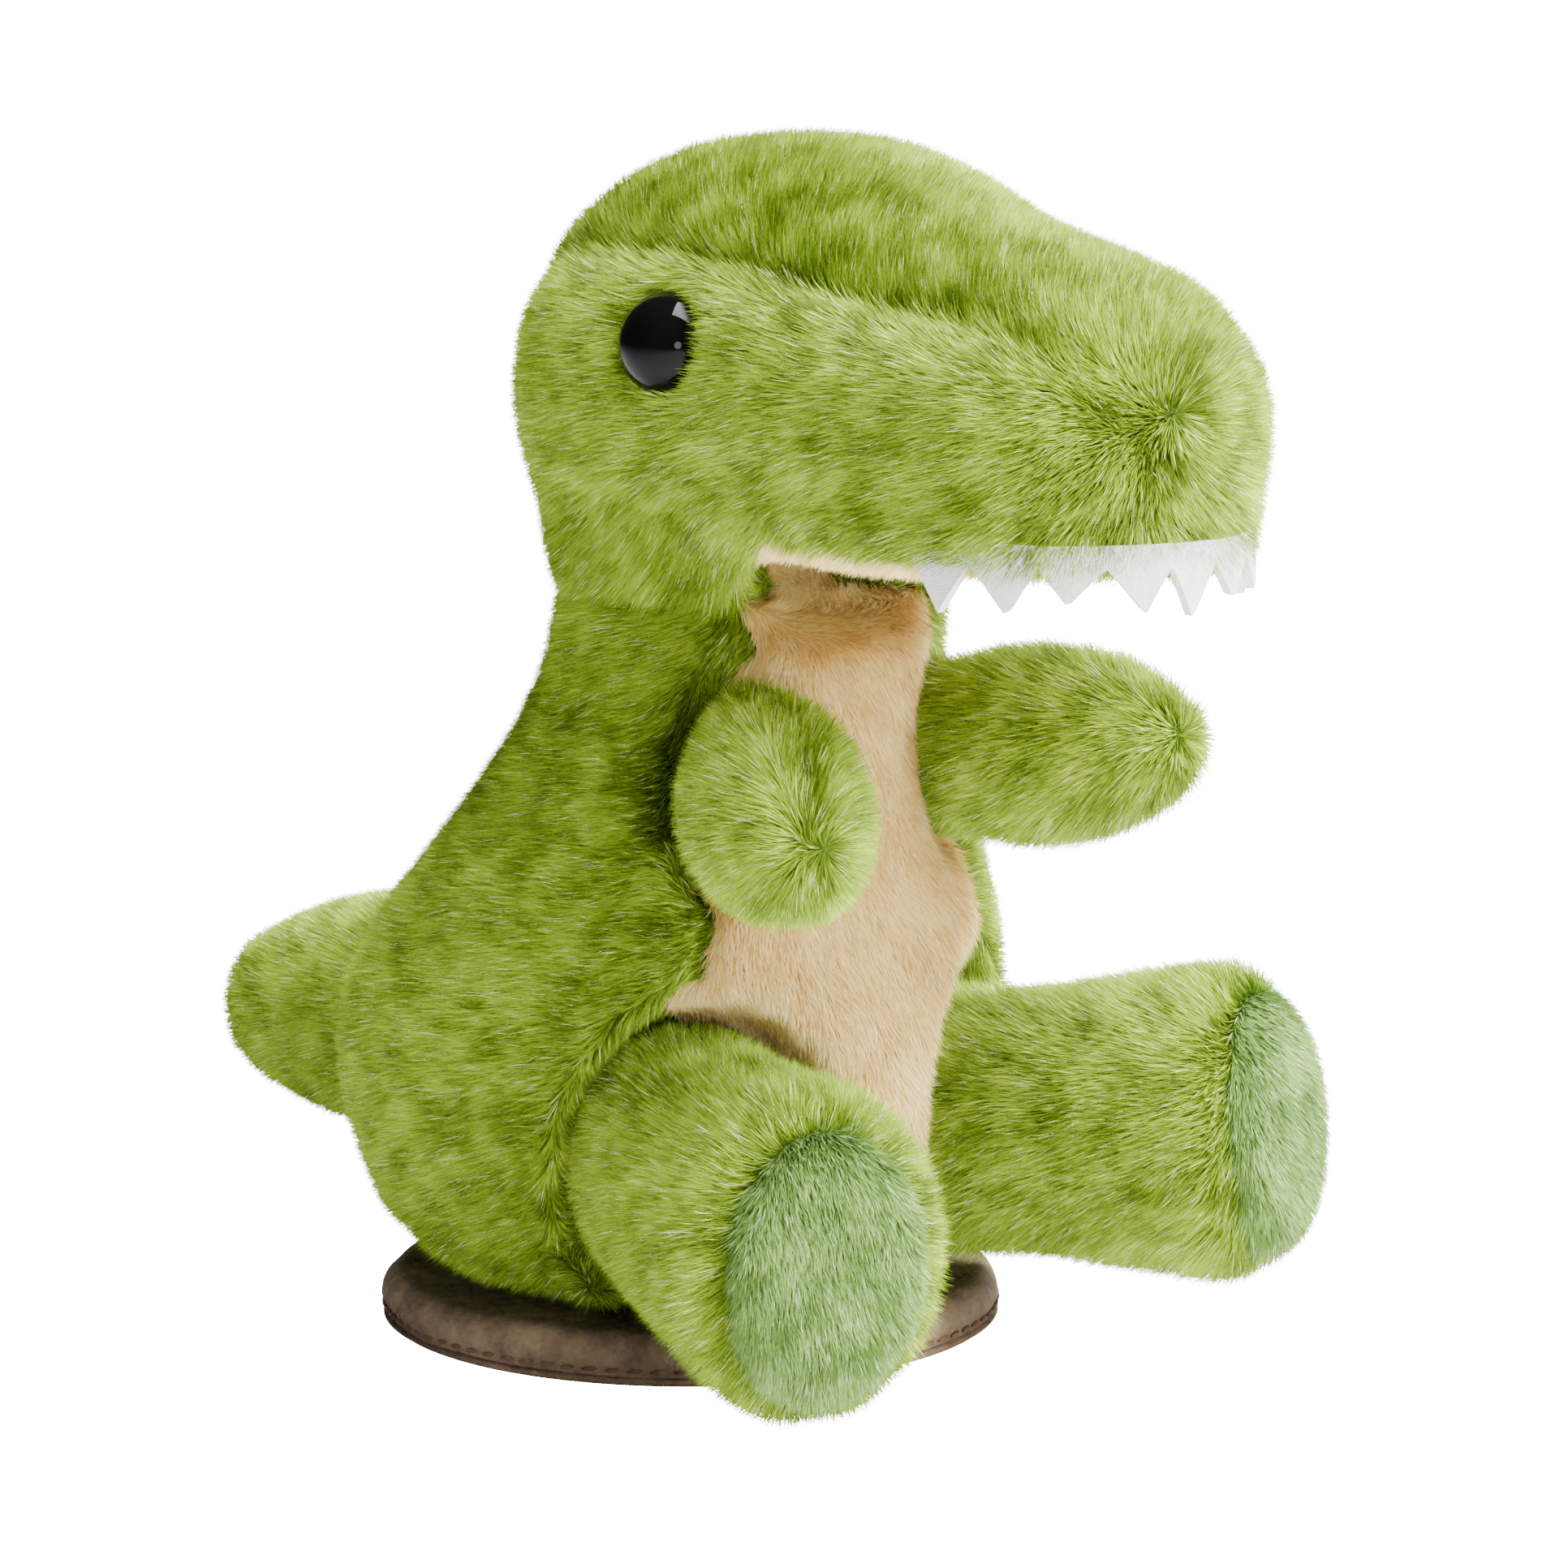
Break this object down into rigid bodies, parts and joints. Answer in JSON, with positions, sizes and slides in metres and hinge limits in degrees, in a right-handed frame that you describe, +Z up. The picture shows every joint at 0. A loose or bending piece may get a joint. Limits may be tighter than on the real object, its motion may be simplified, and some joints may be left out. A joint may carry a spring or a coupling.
{
  "type": "stuffed dinosaur",
  "caption": "Seated long-pile plush dinosaur with a big muzzle, felt teeth, short arms, footpads and a blunt tail, on a round stitched suede pad.",
  "frame": {"origin": "centre of the round pad's flat underside, on the surface that the toy stands on", "axes": "+Z up; the dinosaur faces -Y, its right side is -X and its tail points to +Y"},
  "size_m": [0.0984, 0.1872, 0.1459],
  "materials": {
    "plush_green": "long lime green plush pile with fine light tips",
    "plush_tan": "short tan plush pile",
    "plush_sage": "short sage green plush pile",
    "felt_white": "white wool felt",
    "suede": "brushed taupe suede cloth",
    "thread": "dark brown sewing thread",
    "foam": "soft foam",
    "stuffing": "polyester fibre filling",
    "pouch_cloth": "plain woven cotton",
    "pellet_plastic": "plain plastic beads",
    "washer_plastic": "moulded nylon",
    "eye_plastic": "polished black plastic",
    "steel": "plain steel"
  },
  "bodies": {
    "pad": {"pad_top_cover": "suede", "pad_bottom_cover": "suede", "pad_foam": "foam", "pad_plate": "steel", "pad_thread": "thread"},
    "torso": {"back_panel_right": "plush_green", "back_panel_left": "plush_green", "belly_panel": "plush_tan", "base_panel": "plush_green", "torso_stuffing": "stuffing", "pellet_pouch": "pouch_cloth", "pellets": "pellet_plastic", "magnet_pouch": "pouch_cloth", "magnet": "steel"},
    "head": {"head_side_right": "plush_green", "head_side_left": "plush_green", "head_gusset": "plush_green", "muzzle_lining": "plush_tan", "teeth": "felt_white", "head_stuffing": "stuffing", "eye_right": "eye_plastic", "eye_left": "eye_plastic", "eye_washer_right": "washer_plastic", "eye_washer_left": "washer_plastic"},
    "arm_right": {"arm_outer_right": "plush_green", "arm_inner_right": "plush_green", "arm_stuffing_right": "stuffing"},
    "arm_left": {"arm_outer_left": "plush_green", "arm_inner_left": "plush_green", "arm_stuffing_left": "stuffing"},
    "leg_right": {"leg_outer_right": "plush_green", "leg_inner_right": "plush_green", "sole_right": "plush_sage", "leg_stuffing_right": "stuffing"},
    "leg_left": {"leg_outer_left": "plush_green", "leg_inner_left": "plush_green", "sole_left": "plush_sage", "leg_stuffing_left": "stuffing"},
    "tail": {"tail_skin_right": "plush_green", "tail_skin_left": "plush_green", "tail_stuffing": "stuffing"}
  },
  "joints": [
    {"name": "toy_lift", "type": "slide", "parent": "pad", "child": "torso", "axis": [0, 0, 1], "range_m": [0, 0.05]},
    {"name": "head_turn", "type": "hinge", "parent": "torso", "child": "head", "pos_m": [0, -0.012, 0.091], "axis": [0, 0, 1], "range_deg": [-18, 18], "stiffness_Nm_per_rad": 0.3},
    {"name": "arm_swing_right", "type": "hinge", "parent": "torso", "child": "arm_right", "pos_m": [-0.0155, -0.03, 0.0725], "axis": [0, 0, -1], "range_deg": [-5, 28], "stiffness_Nm_per_rad": 0.05},
    {"name": "arm_swing_left", "type": "hinge", "parent": "torso", "child": "arm_left", "pos_m": [0.0155, -0.03, 0.0725], "axis": [0, 0, 1], "range_deg": [-5, 28], "stiffness_Nm_per_rad": 0.05},
    {"name": "leg_lift_right", "type": "hinge", "parent": "torso", "child": "leg_right", "pos_m": [-0.019, -0.023, 0.025], "axis": [-0.9511, 0.309, 0], "range_deg": [-3, 14], "stiffness_Nm_per_rad": 0.5},
    {"name": "leg_lift_left", "type": "hinge", "parent": "torso", "child": "leg_left", "pos_m": [0.019, -0.023, 0.025], "axis": [-0.9205, -0.3907, 0], "range_deg": [-3, 14], "stiffness_Nm_per_rad": 0.5},
    {"name": "tail_wag", "type": "hinge", "parent": "torso", "child": "tail", "pos_m": [0, 0.034, 0.029], "axis": [0, 0, 1], "range_deg": [-20, 20], "stiffness_Nm_per_rad": 0.2}
  ]
}
